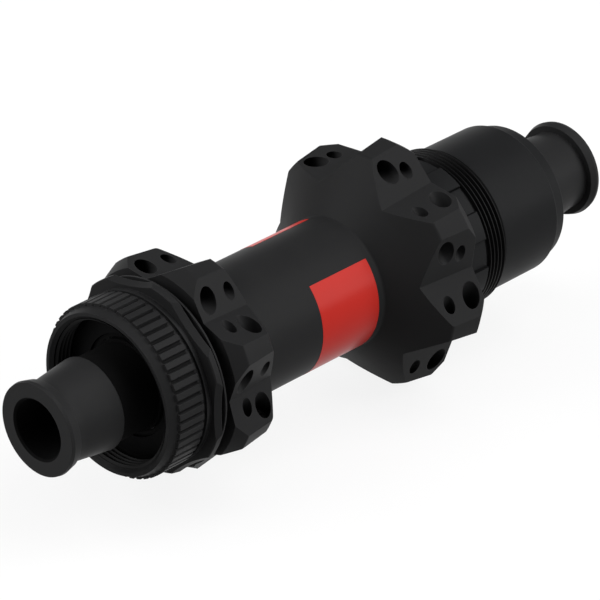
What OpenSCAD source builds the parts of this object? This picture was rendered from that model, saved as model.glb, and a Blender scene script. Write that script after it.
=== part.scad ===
// Rear bicycle hub for straight-pull spokes, with a splined disc mount and a ratchet freehub.
// The axle runs along Y: +Y is the brake side, -Y the drive side, +Z is up and +X is the way it rides.
// Lengths are millimetres. A clock angle is counted from the top, clockwise as seen from the brake side.

/* [Axle and end caps] */
// Width between the two faces that sit in the frame
hub_w = 148; // [142:1:157]
// Bore for the through axle
bore_d = 12; // [11:0.1:12.5]
// Outside diameter of the axle tube, which is the bore of the bearings
axle_d = 15; // [14.6:0.1:15.4]
// Diameter of the thicker middle of the axle tube
axle_mid_d = 18; // [17:0.1:18.6]
// Length of axle tube that each end cap covers
cap_grip = 13.5; // [8:0.5:15]
// Diameter of the brake side cap's outer rim
brake_rim_d = 19; // [18:0.1:20]
// Width of that rim
brake_rim_w = 2.6; // [2:0.1:3.5]
// Diameter of the drive side cap's outer rim
drive_rim_d = 20.1; // [18.6:0.1:20.6]
// Width of that rim
drive_rim_w = 2.1; // [1.8:0.1:3]
// How much the rim narrows towards the hub, on the radius
cap_rim_taper = 0.45; // [0.2:0.05:0.8]
// Diameter of the end cap's waist behind the rim
cap_waist_d = 16.6; // [16:0.1:17.4]
// Diameter of the end cap where its flared neck ends
cap_neck_d = 18.8; // [18:0.1:19.4]
// Distance from the frame's face to the end of the flared neck
cap_neck_end = 13.2; // [11:0.1:15]
// Step behind the flared neck, on the radius
cap_neck_step = 0.6; // [0.3:0.1:0.8]
// Radius that blends the waist into the flare
cap_flare_r = 12; // [6:1:16]
// Thickness of the rings that hold the caps
o_ring_d = 1.2; // [1:0.1:1.4]

/* [Brake side nose] */
// Distance from the frame's face to the front of the nose
nose_setback = 17.7; // [16:0.1:20]
// Diameter of the lockring thread
lockring_d = 30; // [29.4:0.1:30.4]
// Depth of the lockring thread
lockring_depth = 5.2; // [4.5:0.1:6]
// Chamfer at the mouth of the thread
mouth_chamfer = 0.7; // [0.3:0.1:0.9]
// Outside diameter of the nose's front face
nose_d = 32.8; // [32.4:0.1:33.4]
// Length of the bare lead-in before the splines
nose_lead = 1.9; // [1.5:0.1:2.6]
// Number of disc splines
spline_teeth = 54; // [36:1:60]
// Diameter over the disc splines
spline_tip_d = 35.3; // [35:0.1:36]
// Diameter at the roots of the disc splines
spline_root_d = 34.1; // [33.6:0.1:34.6]
// Length of the disc splines
spline_len = 6.2; // [5:0.1:7]
// Width of the runout behind the splines
runout_w = 0.8; // [0.5:0.1:1.2]
// Diameter of the raised ring in front of the disc shoulder
stop_ring_d = 35.2; // [34.8:0.1:36]
// Width of the raised ring
stop_ring_w = 1.1; // [0.8:0.1:1.5]
// Diameter of the disc shoulder
shoulder_d = 39.7; // [39.4:0.1:41]
// Thickness of the disc shoulder
shoulder_t = 1.4; // [1.1:0.05:1.7]
// Bevel on the front edge of the shoulder
shoulder_bevel = 0.2; // [0.1:0.05:0.4]
// Width of the narrow relief behind the shoulder
relief_w = 0.7; // [0.5:0.05:1]
// Diameter at the bottom of that relief
relief_d = 36.6; // [36:0.1:37.6]
// Width of the plain ring behind the relief
back_ring_w = 0.4; // [0.3:0.05:0.7]
// Diameter of that ring
back_ring_d = 38.4; // [38:0.1:39.2]
// Depth of the scallops in the shoulder, at its front edge
scallop_depth = 1.6; // [1:0.05:1.8]
// Radius of the cutter that makes the scallops
scallop_r = 40; // [24:1:60]
// Lean of that cutter
scallop_lean = 22; // [10:1:40]
// Width of the groove between the shoulder and the flange
groove_w = 1.8; // [1.4:0.1:2.4]
// Diameter at the bottom of that groove
groove_d = 32.2; // [31.6:0.1:33]

/* [Flanges] */
// Lugs on each flange, each holding two spokes
lugs = 7; // [6:1:8]
// Slope of a lug's spoke faces from the radius through the lug
face_angle = 45; // [42:0.5:48]
// Diameter of the tube between the flanges
tube_d = 27; // [26.4:0.1:28]
// Height of the shoulders that the shell's bearings press against
tube_lip = 2.5; // [2:0.1:3.5]
// Fillet between the tube and the flanges
tube_fillet = 0.6; // [0.4:0.1:1.2]
// Rounding between a flange's inner cone and its lug tops
cone_round = 1; // [0.6:0.2:2]
// Rounding between the lug tops and a flange's outer bevel
bevel_round = 0.6; // [0.4:0.2:1.4]
// Bore for a straight-pull spoke
spoke_d = 2.5; // [2.2:0.1:2.8]
// Bore for the head of a spoke
head_d = 4; // [3.8:0.1:4.2]
// Distance from the seat of a spoke head to the middle of its lug
head_seat = 0.6; // [0:0.1:1.5]
// Slope of the spoke bores towards the axle, on their way out
spoke_dip = 3.2; // [0:0.2:5]
// Slope of the spoke bores towards the middle of the hub, on their way out
spoke_lean = 4.9; // [0:0.1:6]

/* [Brake flange] */
// Clock angle of the first lug
brake_clock = 13.8; // [-30:0.2:30]
// Diameter over the lugs, at the middle of their tops
brake_land_d = 42.6; // [42:0.1:43.2]
// Length of the lug tops
brake_land_w = 7.4; // [6:0.1:8]
// Diameter across the bottoms of the V cuts, at the same place
brake_vee_d = 34.5; // [34:0.1:35]
// Lean of the lug tops and V cuts
brake_tilt = 6.5; // [3:0.5:9]
// Width of the outer bevel
brake_bevel_w = 2.9; // [2.4:0.1:3.4]
// Diameter at the foot of the outer bevel
brake_bevel_d = 40.2; // [39:0.1:41]
// Width of the inner cone
brake_cone_w = 3.6; // [3:0.1:4.6]
// Distance of the spoke bores from the axle's centre line
brake_spoke_r = 18.1; // [17.7:0.1:18.4]
// Distance of the outer spoke plane from the outer edge of the lug tops
brake_spoke_in = 0.9; // [0.8:0.1:1.6]
// Distance between the two spoke planes
brake_spoke_gap = 5.1; // [4.7:0.1:5.2]

/* [Drive flange] */
// Clock angle of the first lug
drive_clock = 1.2; // [-30:0.2:30]
// Diameter over the lugs, at the middle of their tops
drive_land_d = 50.2; // [49.6:0.1:50.8]
// Length of the lug tops
drive_land_w = 7; // [6:0.1:7.6]
// Diameter across the bottoms of the V cuts, at the same place
drive_vee_d = 40.4; // [39.8:0.1:41]
// Lean of the lug tops and V cuts
drive_tilt = 7.5; // [4:0.5:10]
// Width of the outer bevel
drive_bevel_w = 2.3; // [2:0.1:3]
// Diameter at the foot of the outer bevel
drive_bevel_d = 48; // [47.4:0.1:48.6]
// Width of the long inner cone
drive_cone_w = 8.1; // [7.6:0.1:9]
// Distance of the spoke bores from the axle's centre line
drive_spoke_r = 21.9; // [21.6:0.1:22.4]
// Distance of the outer spoke plane from the outer edge of the lug tops
drive_spoke_in = -0.9; // [-1.2:0.1:0]
// Distance between the two spoke planes
drive_spoke_gap = 4.7; // [4.4:0.1:5]
// Depth of the pocket that holds the ratchet
pocket_depth = 7.6; // [7:0.1:8.4]
// Diameter of that pocket
pocket_d = 34.8; // [34.2:0.1:35.2]

/* [Freehub] */
// Distance from the frame's face to the outer end of the freehub
driver_setback = 16.4; // [15:0.1:18]
// Length of the stepped outer end
driver_tip_len = 3.4; // [2.6:0.1:4]
// Diameter at the tip of the stepped outer end
driver_tip_d = 29.2; // [28:0.1:29.6]
// Diameter of the stepped outer end next to the cassette seat
driver_step_d = 30.4; // [29.8:0.1:30.8]
// Rounding on the edge of the cassette seat
driver_seat_round = 0.3; // [0.1:0.05:0.4]
// Diameter of the smooth cassette seat
driver_seat_d = 31.6; // [31:0.1:32]
// Length of the smooth cassette seat
driver_seat_len = 16; // [14:0.1:19]
// Diameter of the cassette thread at its roots
driver_thread_d = 32.3; // [32:0.1:32.7]
// Length of the cassette thread
driver_thread_len = 6.3; // [5:0.1:7]
// Number of cassette splines
driver_splines = 9; // [6:1:12]
// Diameter over the cassette splines
driver_spline_d = 34; // [33.6:0.1:34.6]
// Diameter between the cassette splines
driver_gap_d = 32.8; // [32.7:0.1:33.2]
// Length of the cassette splines
driver_spline_len = 8.7; // [8:0.1:9.6]
// Clock angle of the first cassette spline
driver_clock = 22.5; // [0:0.5:40]
// Gap between the freehub and the flange
driver_gap = 0.4; // [0.3:0.05:0.8]
// Length of the skirt that reaches into the shell
skirt_len = 3.4; // [2.8:0.1:3.6]
// Diameter of that skirt
skirt_d = 32.6; // [32.2:0.1:32.7]
// Height of the shoulders that the freehub's bearings press against
driver_lip = 1; // [0.6:0.1:1.6]

/* [Bearings] */
// Outside diameter of the bearings in the shell
shell_bearing_d = 28; // [27.6:0.1:28.4]
// Width of the bearings in the shell
shell_bearing_w = 7; // [6.6:0.1:7.2]
// Balls in each bearing of the shell
shell_balls = 11; // [8:1:12]
// Outside diameter of the bearings in the freehub
driver_bearing_d = 24; // [23.6:0.1:24.4]
// Width of the bearings in the freehub
driver_bearing_w = 5; // [4.6:0.1:5.2]
// Balls in each bearing of the freehub
driver_balls = 13; // [9:1:15]
// Share of the mean of a bearing's height and width that its balls take
ball_share = 0.57; // [0.53:0.01:0.59]
// Share of the height between a bearing's bore and outside that each ring takes
ring_share = 0.3; // [0.27:0.01:0.31]
// Thickness of a bearing's shields
shield_t = 0.45; // [0.3:0.05:0.6]
// Wall of a bearing's cage
cage_t = 0.8; // [0.6:0.05:0.9]

/* [Ratchet and spring] */
// Teeth on each ratchet
ratchet_teeth = 36; // [18:1:54]
// Height of the ratchet teeth
tooth_h = 0.9; // [0.6:0.05:1.1]
// Thickness of the ratchet ring behind its teeth
ratchet_ring_t = 2.8; // [2.4:0.1:3.2]
// Bore of both ratchets
ratchet_bore_d = 21.6; // [20.8:0.1:22.2]
// Diameter over the ratchet teeth
tooth_d = 27.2; // [26.6:0.1:27.4]
// Thickness of the sliding ratchet behind its teeth
slider_t = 3.2; // [2.6:0.1:3.6]
// Number of splines that guide the sliding ratchet
slider_splines = 12; // [8:1:16]
// Diameter over those splines
slider_d = 29; // [28.6:0.1:29.4]
// Travel of the sliding ratchet
slider_travel = 1.1; // [1:0.05:1.4]
// Wire of the spring behind the sliding ratchet
spring_wire = 0.9; // [0.7:0.05:1]
// Mean diameter of the spring
spring_d = 25.7; // [25.5:0.1:25.9]
// Room round the spring
spring_clear = 0.4; // [0.3:0.05:0.6]
// Turns of the spring
spring_turns = 3; // [2:0.5:3.5]
// Room between the turns of the spring while the ratchet is held back
spring_room = 0.6; // [0.5:0.05:1]

/* [Seals and clearances] */
// Thickness of the brake side seal
brake_seal_t = 0.9; // [0.6:0.1:1.2]
// Diameter of the hole in the brake side seal
brake_seal_d = 20.8; // [20.2:0.1:21.4]
// Thickness of the seals' lips
lip_t = 0.3; // [0.2:0.05:0.4]
// Width of the seal between shell and freehub
freehub_seal_w = 1.8; // [1.2:0.1:2.2]
// Thickness of the freehub's outer seal
end_seal_t = 1.6; // [1:0.1:2]
// Depth of the freehub's outer seal below the end of the freehub
end_recess = 0.8; // [0.4:0.1:1.2]
// Gap round what is pressed or screwed together
seat_gap = 0.02; // [0.01:0.01:0.05]
// Gap between a ball and its rings or cage
ball_gap = 0.1; // [0.06:0.01:0.15]
// Gap at the lip of a seal
lip_gap = 0.1; // [0.05:0.01:0.2]
// Gap between the meshed ratchet teeth
mesh_gap = 0.12; // [0.08:0.01:0.2]

/* [Hidden] */
$fn = 96;

BLACK = [0.07, 0.07, 0.075];
RUBBER = [0.1, 0.1, 0.1];
STEEL = [0.62, 0.63, 0.65];
ALLOY = [0.72, 0.73, 0.75];
BRASS = [0.72, 0.6, 0.35];
// Extra length that lets a cutter pass clean through a face
through = 1;

// Places along the axle on the brake side, from the frame's face inwards
face_y = hub_w / 2;
nose_y = face_y - nose_setback;
spline_y1 = nose_y - nose_lead;
spline_y0 = spline_y1 - spline_len;
stop_ring_y = spline_y0 - runout_w;
shoulder_y1 = stop_ring_y - stop_ring_w;
shoulder_y0 = shoulder_y1 - shoulder_t;
back_ring_y1 = shoulder_y0 - relief_w;
back_ring_y0 = back_ring_y1 - back_ring_w;
brake_out_y = back_ring_y0 - groove_w;
brake_land_y = brake_out_y - brake_bevel_w - brake_land_w / 2;
brake_tube_y = brake_land_y - brake_land_w / 2 - brake_cone_w;
brake_bearing_y1 = nose_y - lockring_depth - brake_seal_t - lip_gap;
brake_bearing_y0 = brake_bearing_y1 - shell_bearing_w;

// Places along the axle on the drive side, from the frame's face inwards
driver_end_y = -face_y + driver_setback;
seat_y0 = driver_end_y + driver_tip_len;
thread_y0 = seat_y0 + driver_seat_len;
driver_spline_y0 = thread_y0 + driver_thread_len;
driver_spline_y1 = driver_spline_y0 + driver_spline_len;
drive_out_y = driver_spline_y1 + driver_gap;
drive_land_y = drive_out_y + drive_bevel_w + drive_land_w / 2;
drive_tube_y = drive_land_y + drive_land_w / 2 + drive_cone_w;
drive_bearing_y0 = drive_out_y + pocket_depth;
drive_bearing_y1 = drive_bearing_y0 + shell_bearing_w;
tooth_y = drive_bearing_y0 - ratchet_ring_t;
skirt_y = driver_spline_y1 + skirt_len;
slider_y = tooth_y - tooth_h - mesh_gap;
slider_back_y = slider_y - slider_t;
spring_len = spring_turns * (spring_wire + spring_room) + spring_wire;
spring_seat_y = slider_back_y - slider_travel - spring_len;
inboard_y1 = spring_seat_y - lip_gap;
inboard_y0 = inboard_y1 - driver_bearing_w;
outboard_y0 = driver_end_y + end_seal_t + 2 * lip_gap + end_recess;
outboard_y1 = outboard_y0 + driver_bearing_w;

// Each bearing kind: outer radius, width, ball radius, balls and ring wall
function bearing(outside, width, balls) =
    let (height = (outside - axle_d) / 2)
    [outside / 2, width, sqrt(height * width) * ball_share / 2, balls, height * ring_share];
SHELL_BEARING = bearing(shell_bearing_d, shell_bearing_w, shell_balls);
DRIVER_BEARING = bearing(driver_bearing_d, driver_bearing_w, driver_balls);
brake_mid = (brake_bearing_y0 + brake_bearing_y1) / 2;
drive_mid = (drive_bearing_y0 + drive_bearing_y1) / 2;
inboard_mid = (inboard_y0 + inboard_y1) / 2;
outboard_mid = (outboard_y0 + outboard_y1) / 2;

// Corner p between its neighbours a and b, rounded to radius r in short steps
function rounded(a, p, b, r, steps = 6) =
    let (u = (a - p) / norm(a - p), w = (b - p) / norm(b - p))
    let (half = acos(u * w) / 2, mid = (u + w) / norm(u + w), centre = p + mid * r / sin(half))
    let (s = p + u * r / tan(half) - centre, e = p + w * r / tan(half) - centre)
    let (start = atan2(s.y, s.x), turn = atan2(e.y, e.x) - start)
    let (sweep = turn > 180 ? turn - 360 : turn < -180 ? turn + 360 : turn)
    [for (i = [0:steps]) centre + r * [cos(start + sweep * i / steps), sin(start + sweep * i / steps)]];

// Outline from corners of radius, place along the axle and, where it is rounded, a fillet
function outline(c) = [
    for (i = [0:len(c) - 1])
        let (p = [c[i].x, c[i].y], n = len(c), a = c[(i + n - 1) % n], b = c[(i + 1) % n])
        each (len(c[i]) > 2 ? rounded([a.x, a.y], p, [b.x, b.y], c[i].z) : [p])
];

// Solid turned about the axle from such corners
module turned(corners) {
    rotate([-90, 0, 0])
        rotate_extrude()
            polygon(outline(corners));
}

// Plain ring about the axle between two radii and two places
module ring(r0, r1, y0, y1) {
    turned([[r0, y0], [r1, y0], [r1, y1], [r0, y1]]);
}

// Round bar or bore about the axle
module rod(r, y0, y1) {
    rotate([-90, 0, 0])
        translate([0, 0, y0])
            cylinder(r = r, h = y1 - y0);
}

// Children moved so that their X is the radius at a clock angle and their Z runs along the axle
module at_clock(angle) {
    rotate([-90, 0, 0])
        rotate([0, 0, -90 - angle])
            children();
}

// V cuts between the lugs, along lines that lean outwards towards the hub's end
module vee_cuts(clock, vee_r, y, tilt, reach) {
    opening = 90 - face_angle + 180 / lugs;
    depth = 12;
    for (i = [0:lugs - 1])
        at_clock(clock + (i + 0.5) * 360 / lugs)
            translate([vee_r, 0, y])
                rotate([0, tilt, 0])
                    linear_extrude(height = 2 * reach, center = true)
                        polygon([[0, 0], [depth, depth * tan(opening)], [depth, -depth * tan(opening)]]);
}

// Crossed spoke bores of every lug: one plane has its heads clockwise, the other plane the other way.
// The spokes leave a little towards the axle and towards the middle of the hub;
// out is the flange's outer side.
module spoke_bores(clock, spoke_r, clockwise_y, other_y, out) {
    reach = 10;
    for (i = [0:lugs - 1])
        for (side = [[clockwise_y, -1], [other_y, 1]])
            at_clock(clock + i * 360 / lugs)
                translate([spoke_r, 0, side[0]])
                    rotate([side[1] * out * spoke_lean, 0, 0])
                        rotate([0, 0, -side[1] * spoke_dip])
                            rotate([-90 * side[1], 0, 0]) {
                                translate([0, 0, -reach])
                                    cylinder(d = spoke_d, h = 2 * reach);
                                translate([0, 0, head_seat])
                                    cylinder(d = head_d, h = reach);
                            }
}

// Corners of a flange's blank, from the tube to the foot of its outer bevel
function flange_corners(land_y, land_r, land_w, tilt, tube_y, bevel_y, bevel_r, out) = [
    [tube_d / 2, tube_y, tube_fillet],
    [land_r - land_w / 2 * tan(tilt), land_y - out * land_w / 2, cone_round],
    [land_r + land_w / 2 * tan(tilt), land_y + out * land_w / 2, bevel_round],
    [bevel_r, bevel_y]
];

module hub_shell() {
    brake = flange_corners(brake_land_y, brake_land_d / 2, brake_land_w, brake_tilt, brake_tube_y,
        brake_out_y, brake_bevel_d / 2, 1);
    drive = flange_corners(drive_land_y, drive_land_d / 2, drive_land_w, drive_tilt, drive_tube_y,
        drive_out_y, drive_bevel_d / 2, -1);
    bevel_r = shoulder_d / 2 - shoulder_bevel;
    blank = concat(
        [[0, drive_out_y]],
        [for (i = [3:-1:0]) drive[i]],
        brake,
        [[groove_d / 2, brake_out_y], [groove_d / 2, back_ring_y0]],
        [[back_ring_d / 2, back_ring_y0], [back_ring_d / 2, back_ring_y1]],
        [[relief_d / 2, back_ring_y1], [relief_d / 2, shoulder_y0]],
        [
            [shoulder_d / 2, shoulder_y0],
            [shoulder_d / 2, shoulder_y1 - shoulder_bevel],
            [bevel_r, shoulder_y1],
        ],
        [[stop_ring_d / 2, shoulder_y1], [stop_ring_d / 2, stop_ring_y]],
        [[spline_root_d / 2, stop_ring_y], [spline_root_d / 2, spline_y1]],
        [[nose_d / 2, nose_y], [0, nose_y]]
    );
    brake_plane = brake_land_y + brake_land_w / 2 - brake_spoke_in;
    drive_plane = drive_land_y - drive_land_w / 2 - drive_spoke_in;
    color(BLACK)
        difference() {
            union() {
                turned(blank);
                disc_splines();
            }
            vee_cuts(brake_clock, brake_vee_d / 2, brake_land_y, brake_tilt, brake_land_w);
            vee_cuts(drive_clock, drive_vee_d / 2, drive_land_y, -drive_tilt, 2 * drive_land_w);
            scallops();
            spoke_bores(brake_clock, brake_spoke_r, brake_plane, brake_plane - brake_spoke_gap, 1);
            spoke_bores(drive_clock, drive_spoke_r, drive_plane + drive_spoke_gap, drive_plane, -1);
            rod(shell_bearing_d / 2 - tube_lip, drive_out_y - through, nose_y + through);
            rod(shell_bearing_d / 2 + seat_gap, brake_bearing_y0, nose_y + through);
            rod(lockring_d / 2, nose_y - lockring_depth, nose_y + through);
            turned([
                [0, nose_y - mouth_chamfer],
                [lockring_d / 2, nose_y - mouth_chamfer],
                [lockring_d / 2 + mouth_chamfer + through, nose_y + through],
                [0, nose_y + through]
            ]);
            rod(shell_bearing_d / 2 + seat_gap, drive_out_y - through, drive_bearing_y1);
            rod(pocket_d / 2, drive_out_y - through, drive_bearing_y0);
        }
}

// Ring of disc splines with sloping flanks
module disc_splines() {
    pitch = 360 / spline_teeth;
    root = spline_root_d / 2 - 0.2;
    tip = spline_tip_d / 2;
    marks = [[root, 0.0], [root, 0.16], [tip, 0.3], [tip, 0.86]];
    rotate([-90, 0, 0])
        translate([0, 0, spline_y0])
            linear_extrude(height = spline_len)
                polygon([
                    for (i = [0:spline_teeth - 1], m = marks)
                        m[0] * [cos((i + m[1]) * pitch), sin((i + m[1]) * pitch)]
                ]);
}

// Leaning round cuts in the disc shoulder, in line with the V cuts; they end in the relief behind it
module scallops() {
    reach = 12;
    intersection() {
        ring(stop_ring_d / 2, shoulder_d, shoulder_y0 - relief_w / 2, shoulder_y1 + through);
        for (i = [0:lugs - 1])
            at_clock(brake_clock + (i + 0.5) * 360 / lugs)
                translate([shoulder_d / 2 - scallop_depth, 0, shoulder_y1])
                    rotate([0, -scallop_lean, 0])
                        translate([scallop_r, 0, -reach / 2])
                            cylinder(r = scallop_r, h = reach);
    }
}

module freehub_body() {
    inner = driver_bearing_d / 2 + seat_gap;
    color(BLACK)
        difference() {
            turned([
                [0, driver_end_y],
                [driver_tip_d / 2, driver_end_y, 0.4],
                [driver_step_d / 2, seat_y0],
                [driver_seat_d / 2, seat_y0, driver_seat_round],
                [driver_seat_d / 2, thread_y0],
                [driver_thread_d / 2, thread_y0],
                [driver_thread_d / 2, driver_spline_y0],
                [driver_spline_d / 2, driver_spline_y0],
                [driver_spline_d / 2, driver_spline_y1],
                [skirt_d / 2, driver_spline_y1],
                [skirt_d / 2, skirt_y],
                [0, skirt_y]
            ]);
            intersection() {
                ring(driver_gap_d / 2, driver_spline_d, driver_spline_y0 - through, driver_spline_y1 + through);
                wedges(driver_splines, driver_clock + 180 / driver_splines, driver_spline_y0 - 2 * through,
                    driver_spline_len + 4 * through, driver_gap_d / 2 - through, driver_spline_d);
            }
            rod(driver_bearing_d / 2 - driver_lip, driver_end_y - through, skirt_y + through);
            rod(inner, driver_end_y - through, outboard_y1);
            rod(inner, inboard_y0, skirt_y + through);
            rod(spring_bore_r, spring_seat_y, slider_floor_y + 2 * mesh_gap);
            rod(slider_bore_r, slider_floor_y, skirt_y + through);
            intersection() {
                rod(slider_d / 2 + mesh_gap, slider_floor_y, skirt_y + through);
                wedges(slider_splines, 0, spring_seat_y, skirt_y + 2 * through - spring_seat_y,
                    slider_bore_r - through, slider_d);
            }
        }
}

// Half of a full turn in equal wedges between two radii, for splines as wide as their gaps;
// slack narrows them
module wedges(count, clock, y, length, r0, r1, slack = 0) {
    slope = tan(90 / count - slack);
    for (i = [0:count - 1])
        at_clock(clock + i * 360 / count)
            translate([0, 0, y])
                linear_extrude(height = length)
                    polygon([[r0, -r0 * slope], [r1, -r1 * slope], [r1, r1 * slope], [r0, r0 * slope]]);
}

slider_bore_r = tooth_d / 2 + 0.2;
spring_bore_r = spring_d / 2 + spring_wire / 2 + spring_clear;
slider_floor_y = slider_back_y - slider_travel - mesh_gap;

// Radius of the foot with which a cap presses on the inner ring of a bearing
function foot_r(b) = axle_d / 2 + b[4] - lip_gap;

// Cap that pushes onto the axle tube, drawn for the brake side, with a foot that passes the seal
module end_cap(inner_y, foot, seal_t, rim_d, rim_w) {
    foot_y = inner_y + seal_t + 2 * lip_gap;
    waist_y = face_y - rim_w;
    neck_y = face_y - cap_neck_end;
    grip_y = inner_y + cap_grip;
    color(BLACK)
        turned([
            [axle_d / 2 + seat_gap, inner_y],
            [foot, inner_y],
            [foot, foot_y],
            [cap_neck_d / 2 - cap_neck_step, foot_y],
            [cap_neck_d / 2 - cap_neck_step, neck_y - cap_neck_step],
            [cap_neck_d / 2, neck_y],
            [cap_waist_d / 2, waist_y - 1.6, cap_flare_r],
            [cap_waist_d / 2, waist_y],
            [rim_d / 2 - cap_rim_taper, waist_y],
            [rim_d / 2, face_y - 0.7],
            [rim_d / 2 - 0.15, face_y],
            [bore_d / 2 + 0.4, face_y],
            [bore_d / 2, face_y - 0.4],
            [bore_d / 2, grip_y],
            [axle_d / 2 + seat_gap, grip_y]
        ]);
}

module end_cap_brake() {
    end_cap(brake_bearing_y1, foot_r(SHELL_BEARING), brake_seal_t, brake_rim_d, brake_rim_w);
}

module end_cap_drive() {
    mirror([0, 1, 0])
        end_cap(-outboard_y0, foot_r(DRIVER_BEARING), end_seal_t, drive_rim_d, drive_rim_w);
}

// Places of the two o-rings, in the middle of the stretch that each cap covers
brake_o_ring_y = brake_bearing_y1 + cap_grip / 2;
drive_o_ring_y = outboard_y0 - cap_grip / 2;
o_groove_r = axle_d / 2 - o_ring_d / 2;

module axle_tube() {
    color(ALLOY)
        difference() {
            turned([
                [bore_d / 2, outboard_y0 - cap_grip],
                [axle_d / 2, outboard_y0 - cap_grip],
                [axle_d / 2, drive_bearing_y1],
                [axle_mid_d / 2, drive_bearing_y1],
                [axle_mid_d / 2, brake_bearing_y0],
                [axle_d / 2, brake_bearing_y0],
                [axle_d / 2, brake_bearing_y1 + cap_grip],
                [bore_d / 2, brake_bearing_y1 + cap_grip]
            ]);
            for (y = [brake_o_ring_y, drive_o_ring_y])
                ring(o_groove_r, axle_d, y - o_ring_d / 2, y + o_ring_d / 2);
        }
}

// Ring of square section, flattened in its groove
module o_ring(y) {
    color(RUBBER)
        ring(o_groove_r + seat_gap, axle_d / 2, y - o_ring_d / 2 + seat_gap, y + o_ring_d / 2 - seat_gap);
}

module brake_cap_o_ring() {
    o_ring(brake_o_ring_y);
}

module drive_cap_o_ring() {
    o_ring(drive_o_ring_y);
}

// Spacers between the inner rings of neighbouring bearings
module spacer(y0, y1) {
    color(ALLOY)
        ring(axle_d / 2 + seat_gap, axle_d / 2 + DRIVER_BEARING[4], y0, y1);
}

module axle_sleeve() {
    spacer(inboard_y1, drive_bearing_y0);
}

module freehub_spacer() {
    spacer(outboard_y1, inboard_y0);
}

module brake_seal() {
    y0 = brake_bearing_y1 + lip_gap;
    lip_r = foot_r(SHELL_BEARING) + lip_gap;
    color(RUBBER)
        turned([
            [lip_r, y0],
            [shell_bearing_d / 2, y0],
            [shell_bearing_d / 2, y0 + brake_seal_t],
            [brake_seal_d / 2, y0 + brake_seal_t],
            [brake_seal_d / 2, y0 + lip_t],
            [lip_r, y0 + lip_t]
        ]);
}

module freehub_seal() {
    y0 = drive_out_y + 0.4;
    lip_r = skirt_d / 2 + lip_gap;
    color(RUBBER)
        turned([
            [lip_r, y0],
            [lip_r + 0.3, y0],
            [pocket_d / 2 - seat_gap, y0 + 0.4],
            [pocket_d / 2 - seat_gap, y0 + freehub_seal_w],
            [lip_r + 0.3, y0 + freehub_seal_w]
        ]);
}

module freehub_end_seal() {
    y1 = outboard_y0 - lip_gap;
    lip_r = foot_r(DRIVER_BEARING) + lip_gap;
    color(RUBBER)
        turned([
            [lip_r, y1 - end_seal_t / 2],
            [lip_r + 0.8, y1 - end_seal_t],
            [driver_bearing_d / 2, y1 - end_seal_t],
            [driver_bearing_d / 2, y1],
            [lip_r, y1]
        ]);
}

// Saw teeth that stand out towards the drive side; grow widens them for cutting their mate
module saw_teeth(grow) {
    inner = ratchet_bore_d / 2 - 0.5;
    outer = tooth_d / 2 + 0.5;
    step = 2 * outer * tan(180 / ratchet_teeth);
    base = 0.6;
    for (i = [0:ratchet_teeth - 1])
        at_clock((i + 0.5) * 360 / ratchet_teeth)
            translate([inner, 0, tooth_y])
                rotate([90, 0, 90])
                    linear_extrude(height = outer - inner)
                        polygon([
                            [-grow, base],
                            [-grow, -tooth_h - grow],
                            [step, -grow],
                            [step, base]
                        ]);
}

module ratchet_ring() {
    color(STEEL)
        union() {
            ring(ratchet_bore_d / 2, pocket_d / 2 - seat_gap, tooth_y, drive_bearing_y0 - seat_gap);
            intersection() {
                ring(ratchet_bore_d / 2, tooth_d / 2, tooth_y - tooth_h - mesh_gap, tooth_y + mesh_gap);
                saw_teeth(0);
            }
        }
}

// Drawn held back by its travel, as it is while the wheel coasts
module sliding_ratchet() {
    color(STEEL)
        translate([0, -slider_travel, 0])
            difference() {
                union() {
                    ring(ratchet_bore_d / 2, tooth_d / 2, slider_back_y, tooth_y - mesh_gap);
                    intersection() {
                        ring(ratchet_bore_d / 2, slider_d / 2, slider_back_y, slider_y);
                        wedges(slider_splines, 0, slider_back_y - through, slider_t + 2 * through,
                            tooth_d / 2 - through, slider_d, 0.5);
                    }
                }
                saw_teeth(mesh_gap);
            }
}

// Wire of the spring: a helix of short rings, swept as one closed tube
spring_steps = 8;
spring_sides = 6;
spring_rings = spring_turns * spring_steps;
spring_rise = spring_len - spring_wire - 2 * lip_gap;
function spring_point(i) =
    let (a = 360 * i / spring_steps)
    [spring_d / 2 * cos(a), spring_d / 2 * sin(a), spring_rise * i / spring_rings];
function spring_ring(i) =
    let (a = 360 * i / spring_steps, c = spring_point(i))
    [for (s = [0:spring_sides - 1])
        let (b = 360 * s / spring_sides)
        c + spring_wire / 2 * [cos(b) * cos(a), cos(b) * sin(a), sin(b)]];

// Least gap between neighbouring turns, measured on the centre line one turn apart
spring_gap = min([
    for (i = [0:spring_rings - spring_steps])
        norm(spring_point(i + spring_steps) - spring_point(i)) - spring_wire
]);
echo(spring_gap = spring_gap);

module ratchet_spring() {
    last = spring_rings * spring_sides;
    points = [for (i = [0:spring_rings]) each spring_ring(i)];
    sides = [
        for (i = [0:spring_rings - 1], s = [0:spring_sides - 1])
            let (a = i * spring_sides + s, b = i * spring_sides + (s + 1) % spring_sides)
            each [[a, a + spring_sides, b], [b, a + spring_sides, b + spring_sides]]
    ];
    ends = [
        for (s = [1:spring_sides - 2])
            each [[0, s, s + 1], [last, last + s + 1, last + s]]
    ];
    color(STEEL)
        rotate([-90, 0, 0])
            translate([0, 0, spring_seat_y + spring_wire / 2 + lip_gap])
                polyhedron(points = points, faces = concat(sides, ends));
}

// Parts of a ball bearing of a kind, centred at y
function pitch_r(b) = (axle_d / 2 + b[0]) / 2;

module race(b, y) {
    rotate([-90, 0, 0])
        translate([0, 0, y])
            rotate_extrude()
                translate([pitch_r(b), 0])
                    circle(r = b[2] + ball_gap);
}

module inner_ring(b, y) {
    color(STEEL)
        difference() {
            ring(axle_d / 2 + seat_gap, axle_d / 2 + b[4], y - b[1] / 2, y + b[1] / 2);
            race(b, y);
        }
}

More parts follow.
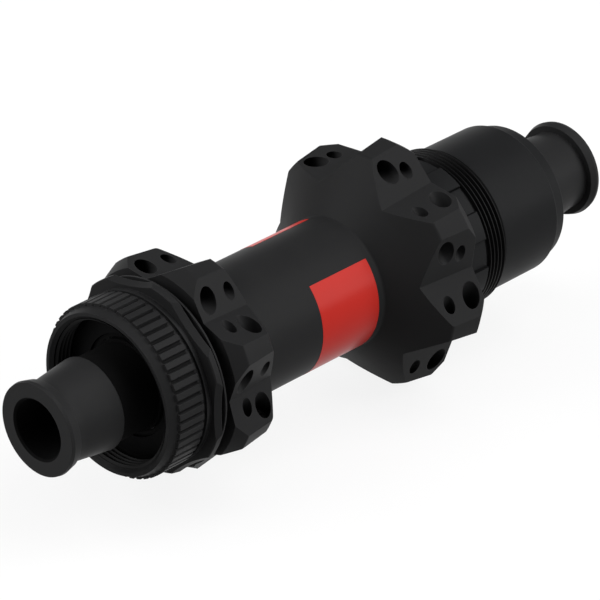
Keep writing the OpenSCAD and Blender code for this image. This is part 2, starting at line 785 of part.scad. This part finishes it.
module outer_ring(b, y) {
    color(STEEL)
        difference() {
            ring(b[0] - b[4], b[0], y - b[1] / 2, y + b[1] / 2);
            race(b, y);
        }
}

module shields(b, y) {
    color(RUBBER)
        for (side = [-1, 1]) {
            outer = y + side * (b[1] / 2 - seat_gap);
            inner = outer - side * shield_t;
            ring(axle_d / 2 + b[4] + lip_gap, b[0] - b[4] - seat_gap, min(inner, outer), max(inner, outer));
        }
}

module ball_set(b, y) {
    color(STEEL)
        for (i = [0:b[3] - 1])
            at_clock(i * 360 / b[3])
                translate([pitch_r(b), 0, y])
                    sphere(r = b[2], $fn = 32);
}

// Ring with a round pocket for every ball
module cage(b, y) {
    half = b[1] / 2 - seat_gap - shield_t - lip_gap;
    color(BRASS)
        difference() {
            ring(pitch_r(b) - cage_t / 2, pitch_r(b) + cage_t / 2, y - half, y + half);
            for (i = [0:b[3] - 1])
                at_clock(i * 360 / b[3])
                    translate([pitch_r(b) - cage_t, 0, y])
                        rotate([0, 90, 0])
                            cylinder(r = b[2] + ball_gap, h = 2 * cage_t, $fn = 32);
        }
}

module brake_inner_ring() {
    inner_ring(SHELL_BEARING, brake_mid);
}

module brake_outer_ring() {
    outer_ring(SHELL_BEARING, brake_mid);
}

module brake_shields() {
    shields(SHELL_BEARING, brake_mid);
}

module brake_cage() {
    cage(SHELL_BEARING, brake_mid);
}

module brake_balls() {
    ball_set(SHELL_BEARING, brake_mid);
}

module drive_inner_ring() {
    inner_ring(SHELL_BEARING, drive_mid);
}

module drive_outer_ring() {
    outer_ring(SHELL_BEARING, drive_mid);
}

module drive_shields() {
    shields(SHELL_BEARING, drive_mid);
}

module drive_cage() {
    cage(SHELL_BEARING, drive_mid);
}

module drive_balls() {
    ball_set(SHELL_BEARING, drive_mid);
}

module inboard_inner_ring() {
    inner_ring(DRIVER_BEARING, inboard_mid);
}

module inboard_outer_ring() {
    outer_ring(DRIVER_BEARING, inboard_mid);
}

module inboard_shields() {
    shields(DRIVER_BEARING, inboard_mid);
}

module inboard_cage() {
    cage(DRIVER_BEARING, inboard_mid);
}

module inboard_balls() {
    ball_set(DRIVER_BEARING, inboard_mid);
}

module outboard_inner_ring() {
    inner_ring(DRIVER_BEARING, outboard_mid);
}

module outboard_outer_ring() {
    outer_ring(DRIVER_BEARING, outboard_mid);
}

module outboard_shields() {
    shields(DRIVER_BEARING, outboard_mid);
}

module outboard_cage() {
    cage(DRIVER_BEARING, outboard_mid);
}

module outboard_balls() {
    ball_set(DRIVER_BEARING, outboard_mid);
}

hub_shell();
freehub_body();
end_cap_brake();
end_cap_drive();
axle_tube();
axle_sleeve();
freehub_spacer();
brake_cap_o_ring();
drive_cap_o_ring();
brake_seal();
freehub_seal();
freehub_end_seal();
ratchet_ring();
sliding_ratchet();
ratchet_spring();
brake_inner_ring();
brake_outer_ring();
brake_shields();
brake_cage();
brake_balls();
drive_inner_ring();
drive_outer_ring();
drive_shields();
drive_cage();
drive_balls();
inboard_inner_ring();
inboard_outer_ring();
inboard_shields();
inboard_cage();
inboard_balls();
outboard_inner_ring();
outboard_outer_ring();
outboard_shields();
outboard_cage();
outboard_balls();
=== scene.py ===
import bpy
import numpy as np
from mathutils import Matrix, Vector


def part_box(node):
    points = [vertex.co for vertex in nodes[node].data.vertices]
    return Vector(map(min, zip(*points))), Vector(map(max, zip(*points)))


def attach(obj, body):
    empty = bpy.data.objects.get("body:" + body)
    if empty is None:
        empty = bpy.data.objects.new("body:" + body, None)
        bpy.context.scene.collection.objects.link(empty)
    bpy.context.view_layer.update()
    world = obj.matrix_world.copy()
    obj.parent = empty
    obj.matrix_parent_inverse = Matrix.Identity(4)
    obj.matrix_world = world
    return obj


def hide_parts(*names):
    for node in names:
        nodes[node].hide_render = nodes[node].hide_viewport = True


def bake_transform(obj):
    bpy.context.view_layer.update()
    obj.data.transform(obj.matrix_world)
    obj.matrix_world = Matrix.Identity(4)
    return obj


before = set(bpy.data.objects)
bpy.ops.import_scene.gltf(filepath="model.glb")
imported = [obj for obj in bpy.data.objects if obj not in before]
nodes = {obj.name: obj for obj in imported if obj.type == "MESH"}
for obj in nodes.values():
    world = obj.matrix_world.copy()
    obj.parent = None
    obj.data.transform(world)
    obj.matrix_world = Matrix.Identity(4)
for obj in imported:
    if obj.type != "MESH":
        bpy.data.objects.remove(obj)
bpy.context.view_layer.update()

# Camera: a long lens above and in front of the hub, on its brake side.
# Lens and place were worked out from the end cap's bore, the rings and the spoke bores.
MM = 0.001
eye = Vector((-483.97, 510.43, 382.32)) * MM
eye_way = Vector((0.6064, -0.6343, -0.4795))
camera_data = bpy.data.cameras.new("camera")
camera_data.sensor_width = 36
camera_data.lens = 246.56
camera_data.clip_start = 0.05
camera = bpy.data.objects.new("camera", camera_data)
camera.location = eye
camera.rotation_euler = eye_way.to_track_quat("-Z", "Y").to_euler()
bpy.context.scene.collection.objects.link(camera)
bpy.context.scene.camera = camera


# Studio: a white table under the hub and three large soft lamps, the main one on the right of the camera.
# The table and a low wall all round are white to the camera and in reflections, and the table keeps a
# pale shadow. It lies just under the reach of the lugs, so that the shell can turn above it.
class Finish:
    """A socket among a material's nodes: sums on it add Math nodes, and add() makes any other node."""

    def __init__(self, tree, socket=None):
        self.tree = tree
        self.socket = socket

    def add(self, kind, settings=None, sockets=None, out=0):
        """A node of that kind, with its settings first and then the values or links of its sockets."""
        node = self.tree.nodes.new("ShaderNode" + kind)
        for name, value in (settings or {}).items():
            setattr(node, name, value)
        for name, value in (sockets or {}).items():
            if isinstance(value, Finish):
                self.tree.links.new(value.socket, node.inputs[name])
            else:
                node.inputs[name].default_value = value
        return Finish(self.tree, node.outputs[out]) if len(node.outputs) else self

    def math(self, operation, a, b=0.0):
        return self.add("Math", {"operation": operation}, {0: a, 1: b})

    def above(self, limit):
        return self.math("GREATER_THAN", self, limit)

    def below(self, limit):
        return self.math("LESS_THAN", self, limit)

    def __add__(self, other):
        return self.math("ADD", self, other)

    def __sub__(self, other):
        return self.math("SUBTRACT", self, other)

    def __rsub__(self, other):
        return self.math("SUBTRACT", other, self)

    def __mul__(self, other):
        return self.math("MULTIPLY", self, other)

    __radd__ = __add__
    __rmul__ = __mul__


def put_mesh(name, points, faces, smooth=True, crease=35):
    """A mesh object from an array of points in millimetres and an array of faces, sharp past that angle."""
    mesh = bpy.data.meshes.new(name)
    mesh.from_pydata(np.asarray(points) * MM, [], faces)
    mesh.polygons.foreach_set("use_smooth", np.full(len(mesh.polygons), smooth))
    mesh.update()
    mesh.set_sharp_from_angle(angle=np.radians(crease))
    piece = bpy.data.objects.new(name, mesh)
    bpy.context.scene.collection.objects.link(piece)
    return piece


def white_to_sight(tree):
    """1 for what the camera sees, straight, mirrored or through glass, and 0 for the light that it sheds."""
    paths = Finish(tree)
    straight, mirror, glass = (paths.add("LightPath", out="Is " + ray + " Ray")
                               for ray in ("Camera", "Glossy", "Transmission"))
    return paths.math("MINIMUM", straight + mirror + glass, 1.0)


table_z = -25.9
table_half = 6000
white = (1, 1, 1, 1)
table_white = (0.84, 0.84, 0.84, 1)
table_shade = (0.35, 0.35, 0.35, 1)
table_glow = 0.85
corner = np.array([[-1, -1], [1, -1], [1, 1], [-1, 1]]) * table_half
table = put_mesh("table", np.c_[corner, np.full(4, table_z)], [[0, 1, 2, 3]], smooth=False)
table_paint = bpy.data.materials.new("table_white")
table_paint.use_nodes = True
tree = table_paint.node_tree
tree.nodes.clear()
paint = Finish(tree)
shed = paint.add("BsdfDiffuse", None, {"Color": table_shade})
matt = paint.add("BsdfDiffuse", None, {"Color": table_white})
glow = paint.add("Emission", None, {"Color": white, "Strength": 1.0})
seen = paint.add("MixShader", None, {0: table_glow, 1: matt, 2: glow})
mixed = paint.add("MixShader", None, {0: white_to_sight(tree), 1: shed, 2: seen})
paint.add("OutputMaterial", None, {"Surface": mixed})
table.data.materials.append(table_paint)

air_colour = (0.93, 0.97, 1, 1)
air_strength = 0.05
wall_fade = (0.15, 0.4)
room = bpy.data.worlds.new("room")
room.use_nodes = True
tree = room.node_tree
tree.nodes.clear()
air = Finish(tree)
dim = air.add("Background", None, {"Color": air_colour, "Strength": air_strength})
wall = air.add("Background", None, {"Color": white, "Strength": 1.0})
way = air.add("TexCoord", out="Generated")
rise = air.add("SeparateXYZ", None, {0: way}, out="Z")
low = air.add("MapRange", {"interpolation_type": "SMOOTHSTEP"},
              {0: rise, 1: wall_fade[0], 2: wall_fade[1], 3: 1.0, 4: 0.0})
seen = air.add("MixShader", None, {0: white_to_sight(tree) * low, 1: dim, 2: wall})
air.add("OutputWorld", None, {"Surface": seen})
bpy.context.scene.world = room


def softbox(name, azimuth, elevation, size, watts, distance=1.4):
    """A flat soft lamp of that width and height that faces the hub from that way, in degrees and metres."""
    a, e = np.radians(azimuth), np.radians(elevation)
    way = Vector((np.cos(e) * np.cos(a), np.cos(e) * np.sin(a), np.sin(e)))
    lamp_data = bpy.data.lights.new(name, "AREA")
    lamp_data.shape = "RECTANGLE"
    lamp_data.size, lamp_data.size_y = size
    lamp_data.energy = watts
    lamp = bpy.data.objects.new(name, lamp_data)
    lamp.location = way * distance
    lamp.rotation_euler = (-way).to_track_quat("-Z", "Y").to_euler()
    bpy.context.scene.collection.objects.link(lamp)


softbox("lamp_right", azimuth=-142, elevation=41, size=(1.2, 2.0), watts=31)
softbox("lamp_left", azimuth=55, elevation=32, size=(1.1, 1.2), watts=18.5)
softbox("lamp_top", azimuth=-30, elevation=84, size=(1.0, 1.0), watts=5)
bpy.context.scene.view_settings.view_transform = "Standard"


def grain(paint, scale, detail=2.0):
    """Fine noise on the piece's own coordinates, from 0 to 1; scale counts features per metre."""
    place = paint.add("TexCoord", out="Object")
    return paint.add("TexNoise", None, {"Vector": place, "Scale": scale, "Detail": detail}, out="Fac")


def toned(colour, gain, lift=0.0):
    """That colour made lighter or darker, with full opacity."""
    return tuple(min(1.0, c * gain + lift) for c in colour) + (1,)


def surface(name, colour, rough, metal=0.0, specular=0.5, vary=0.12, rough_vary=0.06, bump=2e-6,
            bump_scale=9000.0, edge=0.12, edge_highlight=0.0, turned=0.0, painted_shade=None):
    """A finish whose colour and gloss drift a little, with fine grain and, if asked, turning lines.
    edge rounds sharp edges within that many millimetres, and worn lightens them as a painted highlight;
    turned is the height of the turning lines in metres; greased gives, from the place along the axle and the
    radius in millimetres and the clock angle in degrees, where shade is painted on as a darker and duller
    colour."""
    cloud_scale, cloud_detail = 160.0, 3.0
    edge_samples = 6
    edge_bend = (0.998, 0.9)
    highlight_gain, highlight_lift = 1.9, 0.012
    shade_gain, shade_rough = 0.22, 0.4
    line_pitch, line_wander = 0.14 * MM, 6.0
    material = bpy.data.materials.new(name)
    material.use_nodes = True
    tree = material.node_tree
    tree.nodes.clear()
    paint = Finish(tree)

    def blend(share, first, second):
        return paint.add("Mix", {"data_type": "RGBA"}, {0: share, 6: first, 7: second}, out=2)

    cloud = grain(paint, cloud_scale, cloud_detail)
    fine = grain(paint, bump_scale)
    tint = blend(cloud, toned(colour, 1 - vary), toned(colour, 1 + vary))
    soft = paint.add("Bevel", {"samples": edge_samples}, {"Radius": edge * MM})
    # Painted highlight: edges, where the rounded normal bends away from the flat one, are lightened to stand
    # in for the light that they catch.
    if edge_highlight:
        flat = paint.add("NewGeometry", out="Normal")
        bend = paint.add("VectorMath", {"operation": "DOT_PRODUCT"}, {0: soft, 1: flat}, out="Value")
        lit_edge = paint.add("MapRange", {"clamp": True},
                        {0: bend, 1: edge_bend[0], 2: edge_bend[1], 3: 0.0, 4: edge_highlight})
        tint = blend(lit_edge, tint, toned(colour, highlight_gain, highlight_lift))
    gloss = cloud * (2 * rough_vary) + (rough - rough_vary)
    # Painted shade: where the mask is 1, the colour is darkened and dulled to stand in for the shade that
    # falls in recesses, grooves and gaps.
    if painted_shade:
        place = paint.add("TexCoord", out="Object")
        x, y, z = (paint.add("SeparateXYZ", None, {0: place}, out=axis) * (1 / MM) for axis in "XYZ")
        clock = paint.math("ARCTAN2", x * -1, z) * (180 / np.pi)
        cover = painted_shade(y, paint.math("SQRT", x * x + z * z), clock)
        tint = blend(cover, tint, toned(colour, shade_gain))
        gloss = gloss + cover * shade_rough
    height, reach = fine, bump
    if turned:
        place = paint.add("TexCoord", out="Object")
        along = paint.add("SeparateXYZ", None, {0: place}, out="Y")
        lines = paint.math("SINE", along * (2 * np.pi / line_pitch) + cloud * line_wander)
        height, reach = fine * (bump / turned) + lines * 0.5, turned
    relief = paint.add("Bump", None, {"Strength": 1.0, "Distance": reach, "Height": height, "Normal": soft})
    shader = paint.add("BsdfPrincipled", None, {
        "Base Color": tint, "Roughness": gloss, "Metallic": metal,
        "Specular IOR Level": specular, "Normal": relief})
    paint.add("OutputMaterial", None, {"Surface": shader})
    return material


def dress(material, *names):
    """Gives that finish to CAD nodes."""
    for name in names:
        nodes[name].data.materials.clear()
        nodes[name].data.materials.append(material)


bare_alloy = surface("bare_alloy", (0.62, 0.63, 0.65), 0.32, metal=1.0, vary=0.04, turned=1.5e-6)
dress(bare_alloy, "axle_tube", "axle_sleeve", "freehub_spacer")

# O-rings: two rings of moulded nitrile rubber, in grooves of the axle tube.
# They hold the push-on end caps by friction.
nitrile = surface("nitrile", (0.018, 0.018, 0.019), 0.55, bump=4e-6, edge=0.2)
dress(nitrile, "brake_cap_o_ring", "drive_cap_o_ring")


# Bearings: four sealed ball bearings, two in the shell and two in the freehub.
# Ground steel rings, polished balls, moulded cages and rubber shields that snap into the outer rings.
def shade_behind_seal(y, r, clock):
    """1 on the ends of the rings behind the brake side's seal, where shade is painted on, and 0 elsewhere."""
    seal_back = 49.8
    return y.above(seal_back)


ground_steel = surface("ground_steel", (0.56, 0.57, 0.58), 0.22, metal=1.0, vary=0.05, turned=0.8e-6,
                       painted_shade=shade_behind_seal)
polished_steel = surface("polished_steel", (0.72, 0.73, 0.74), 0.06, metal=1.0, vary=0.02,
                         rough_vary=0.02, bump=2e-7)
cage_nylon = surface("cage_nylon", (0.36, 0.27, 0.14), 0.5, vary=0.1, bump=4e-6)
shield_rubber = surface("shield_rubber", (0.02, 0.02, 0.022), 0.6, bump=5e-6, turned=3e-6)
for spot in ("brake", "drive", "inboard", "outboard"):
    dress(ground_steel, spot + "_inner_ring", spot + "_outer_ring")
    dress(polished_steel, spot + "_balls")
    dress(cage_nylon, spot + "_cage")
    dress(shield_rubber, spot + "_shields")


# Hub shell: forged and turned aluminium with milled V cuts between the lugs, crossed bores for the
# straight spokes and a splined disc mount, blasted fine and anodised black.
def shade_in_nose(y, r, clock):
    """1 inside the nose, nearer the axle than the root of its thread and behind its mouth, a share of it on
    the floors between the disc's splines, and 0 elsewhere: these are painted shade in the nose's recess and
    between the splines."""
    thread_root_r, nose_back, nose_mouth = 15.02, 46, 55.6
    floor_r, floor_y, floor_share = (16.9, 17.15), (48.25, 54.35), 0.7
    inside = r.below(thread_root_r) * y.below(nose_mouth) * y.above(nose_back)
    floors = (r.below(floor_r[1]) * r.above(floor_r[0])
              * y.above(floor_y[0]) * y.below(floor_y[1]))
    return inside + floors * floor_share


shell_black = surface("shell_black", (0.0155, 0.0155, 0.0159), 0.42, specular=0.035, vary=0.06,
                      bump=2.5e-6, bump_scale=7000.0, edge_highlight=0.5, painted_shade=shade_in_nose)
dress(shell_black, "hub_shell")


# Lockring thread: the fine thread cut inside the nose, into which the disc's lockring screws.
# It is part of the shell; here its ridge is one helical surface that runs out at both ends.
def tube_faces(rings, sides):
    """Faces of a tube of rings that all have that many sides, with a flat cap on each end."""
    i, k = np.meshgrid(np.arange(rings - 1), np.arange(sides), indexing="ij")
    a, b = i * sides + k, i * sides + (k + 1) % sides
    walls = np.stack([a, b, b + sides, a + sides], axis=2).reshape(-1, 4).tolist()
    first = np.arange(sides)
    return walls + [first[::-1].tolist(), (first + (rings - 1) * sides).tolist()]


def thread_ridge(name, root_r, crest_r, y0, y1, pitch, root_w, crest_w, steps=120, run_out=0.22, sink=0.03):
    """A thread's ridge: a trapezoid carried along a helix about Y, that rises and falls at its ends.
    At turn t its corners lie at the root's radius plus rise(t) times their height, at the angle 2 pi t,
    and at y0 + pitch t plus rise(t) times their place across the ridge. rise(t) goes from near 0 to 1 over
    run_out of a turn, and the root is sunk a little into what carries it."""
    turns = (y1 - y0) / pitch
    t = np.linspace(0, turns, int(turns * steps) + 1)[:, None]
    rise = np.clip(np.minimum(t, turns - t) / run_out, 0.02, 1)
    sunk = root_r + sink * np.sign(root_r - crest_r)
    corner_r = np.array([sunk, crest_r, crest_r, sunk])
    across = np.array([-root_w, -crest_w, crest_w, root_w]) / 2
    r = sunk + (corner_r - sunk) * rise
    y = y0 + pitch * t + across * rise
    a = 2 * np.pi * t
    points = np.stack([r * np.sin(a), y, r * np.cos(a)], axis=2).reshape(-1, 3)
    faces = tube_faces(len(t), len(across))
    if crest_r < root_r:
        faces = [face[::-1] for face in faces]
    return put_mesh(name, points, faces, smooth=False)


# Painted shade: the thread ridges are coloured far darker than the anodised metal they are cut into, to stand
# in for the shade in the grooves.
shaded_thread = surface("shaded_thread", (0.0035, 0.0035, 0.0037), 0.4, specular=0.05, vary=0.06, edge=0.06)
lockring_thread = thread_ridge("lockring_thread", root_r=15.0, crest_r=14.48, y0=51.6, y1=55.75,
                               pitch=1.0, root_w=0.9, crest_w=0.18)
lockring_thread.data.materials.append(shaded_thread)
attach(lockring_thread, "shell")


# Colour panels: two plain red films printed round the middle of the tube, one on each side.
# A printed film is smooth and a little glossy, so it mirrors the lamps more clearly than the blasted black.
def panel_film(name, radius, thickness, y0, y1, clock0, clock1, steps=(72, 12), sink=0.02):
    """A film on the tube: at clock angle c and place y its skin lies at the tube's radius plus the thickness,
    and its underside just below the tube's skin; both are the point (-r sin c, y, r cos c)."""
    c, y = np.meshgrid(np.radians(np.linspace(clock0, clock1, steps[0])), np.linspace(y0, y1, steps[1]),
                       indexing="ij")
    skins = [np.stack([-r * np.sin(c), y, r * np.cos(c)], axis=2).reshape(-1, 3)
             for r in (radius + thickness, radius - sink)]
    index = np.arange(c.size).reshape(c.shape)
    quads = np.stack([index[:-1, :-1], index[1:, :-1], index[1:, 1:], index[:-1, 1:]], axis=2).reshape(-1, 4)
    border = np.concatenate([index[:-1, 0], index[-1, :-1], index[:0:-1, -1], index[0, :0:-1]])
    after = np.roll(border, -1)
    sides = np.stack([after, border, border + c.size, after + c.size], axis=1)
    faces = np.concatenate([quads, quads[:, ::-1] + c.size, sides])
    return put_mesh(name, np.concatenate(skins), faces.tolist())


tube_r = 13.5
print_red = surface("print_red", (0.44, 0.0185, 0.0122), 0.28, specular=0.08, vary=0.03,
                    rough_vary=0.012, bump=4e-7, bump_scale=4000.0, edge=0.03)
for side, (clock0, clock1) in {"front": (46.5, 146.5), "back": (237.0, 337.0)}.items():
    cover = panel_film("panel_" + side, tube_r, thickness=0.03, y0=-3.8, y1=11.9, clock0=clock0, clock1=clock1)
    cover.data.materials.append(print_red)
    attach(cover, "shell")

# Shell seals: a moulded rubber ring pressed into the brake side, in front of its bearing, and a lip ring
# that closes the gap between shell and freehub.
seal_rubber = surface("seal_rubber", (0.0028, 0.0028, 0.003), 0.6, specular=0.04, bump=5e-6,
                      bump_scale=5000.0, edge=0.15)
dress(seal_rubber, "brake_seal", "freehub_seal")

# Ratchets: two hardened steel rings with saw teeth, one fixed in the shell and one sliding in the freehub.
# Tumbled and oiled, so they are grey with darker clouds.
ratchet_steel = surface("ratchet_steel", (0.30, 0.30, 0.31), 0.34, metal=1.0, vary=0.15, edge=0.08, edge_highlight=0.4)
dress(ratchet_steel, "ratchet_ring", "sliding_ratchet")


# Spring: three turns of steel wire that push the sliding ratchet into mesh.
# One end sits in the freehub and the other on the ratchet, so it stretches as the ratchet slides out.
def coil(name, mean_d, wire_d, y0, y1, turns, sides=16, steps=72):
    """A round wire along a helix about Y: the centre at turn t lies at radius mean / 2, angle 2 pi t and
    y0 + (y1 - y0) t / turns, and the wire's skin is a circle about it in the plane of radius and axle."""
    t = np.linspace(0, turns, turns * steps + 1)[:, None]
    b = np.linspace(0, 2 * np.pi, sides, endpoint=False)
    r = mean_d / 2 + wire_d / 2 * np.cos(b)
    y = y0 + (y1 - y0) * t / turns + wire_d / 2 * np.sin(b)
    a = 2 * np.pi * t
    points = np.stack([r * np.cos(a), y, -r * np.sin(a)], axis=2).reshape(-1, 3)
    return put_mesh(name, points, tube_faces(len(t), sides))


low, high = (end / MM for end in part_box("ratchet_spring"))
wire_d = 0.9
spring_wire = surface("spring_wire", (0.45, 0.45, 0.46), 0.25, metal=1.0, vary=0.06)
spring = coil("ratchet_spring_wire", 25.7, wire_d, low.y + wire_d / 2, high.y - wire_d / 2, turns=3)
spring.data.materials.append(spring_wire)
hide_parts("ratchet_spring")
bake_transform(spring)


# Freehub: turned and milled aluminium that carries the cassette, with nine short splines against the
# shell, a thread, and a smooth seat; anodised black a little smoother than the shell.
def shade_in_grooves(y, r, clock):
    """1 on the thread's root, a share of it within half a degree of the walls between the splines and their
    gaps, which stand every 20 degrees from 12.5 on, and 0 elsewhere: painted shade in the thread's grooves
    and painted shadow along the splines' steps."""
    root_r, root_y = 16.3, (-38.18, -31.92)
    wall_step, wall_clock, wall_half = 20.0, 12.5, 0.5
    wall_r, wall_y, wall_share = 16.35, (-31.88, -23.22), 0.8
    root = y.below(root_y[1]) * y.above(root_y[0]) * r.below(root_r)
    turn = y.math("FLOORED_MODULO", clock - (wall_clock - wall_step / 2), wall_step)
    off = y.math("ABSOLUTE", turn - wall_step / 2)
    walls = off.below(wall_half) * r.above(wall_r) * y.above(wall_y[0]) * y.below(wall_y[1])
    return root + walls * wall_share


driver_black = surface("driver_black", (0.0111, 0.0113, 0.0118), 0.42, specular=0.035, vary=0.05,
                       bump=1.5e-6, edge_highlight=0.35, turned=4e-7, painted_shade=shade_in_grooves)
dress(driver_black, "freehub_body")

# Cassette thread: the thread behind the splines that the cassette screws onto.
# It is cut into the freehub; here its ridge is one helical surface, as in the nose.
cassette_thread = thread_ridge("cassette_thread", root_r=16.15, crest_r=16.72, y0=-37.95, y1=-32.15,
                               pitch=1.04, root_w=0.86, crest_w=0.24)
cassette_thread.data.materials.append(shaded_thread)
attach(cassette_thread, "freehub")

# Freehub end seal: a ring of the same moulded rubber as the shell's seals.
# It is pressed into the freehub's outer end, in front of the outer bearing.
dress(seal_rubber, "freehub_end_seal")


# End caps: turned aluminium caps, anodised satin black, that sit in the frame's dropouts.
# They push onto the axle tube, and their feet press on the inner rings of the outermost bearings.
def shade_in_cap(y, r, clock):
    """1 in the bore and on the foot, which lies nearer the middle of the hub, and 0 elsewhere: painted shade
    where these sit deep in their recesses.
    """
    bore_r, foot_y = 6.4, 60.75
    return y.math("MAXIMUM", r.below(bore_r), y.math("ABSOLUTE", y).below(foot_y))


cap_black = surface("cap_black", (0.0180, 0.0180, 0.0184), 0.42, specular=0.035, vary=0.05, bump=2e-6,
                    edge_highlight=0.35, turned=5e-7, painted_shade=shade_in_cap)
dress(cap_black, "end_cap_brake", "end_cap_drive")
